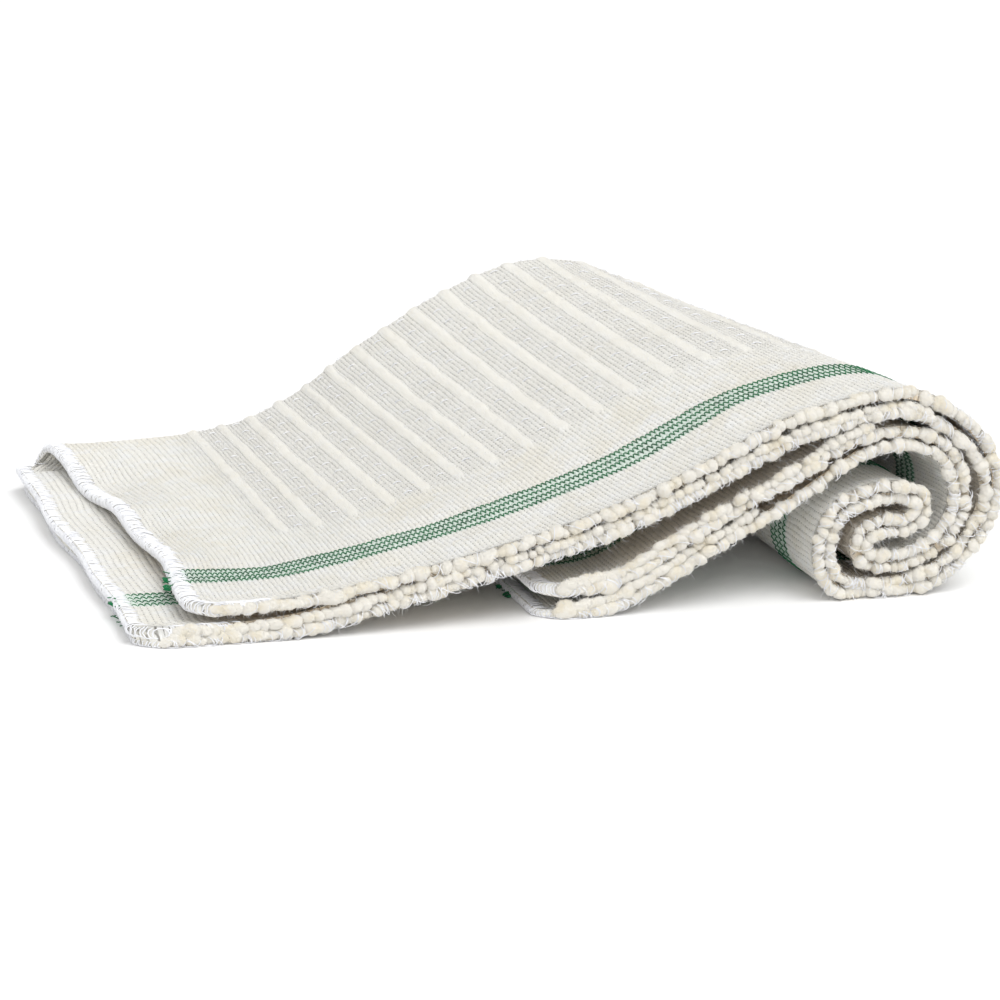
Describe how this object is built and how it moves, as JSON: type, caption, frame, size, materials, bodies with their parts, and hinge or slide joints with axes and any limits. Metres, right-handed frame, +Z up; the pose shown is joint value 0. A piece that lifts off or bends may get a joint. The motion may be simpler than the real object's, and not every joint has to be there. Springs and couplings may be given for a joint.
{
  "type": "folded floor cloth",
  "caption": "Thick ribbed cotton floor cloth with green stripes near looped selvedges, folded lengthwise in half and loosely rolled at one end, for wiping floors.",
  "frame": {"origin": "on the floor under the centre of the cloth's bounding box", "axes": "+X along the doubled strip from its loose left end to the roll, +Y from the selvedges to the long fold, +Z up"},
  "size_m": [0.4002, 0.2638, 0.1048],
  "materials": {
    "cotton": "undyed thick woven cotton, matt"
  },
  "bodies": {
    "root": {"floor_cloth": "cotton"}
  },
  "joints": []
}
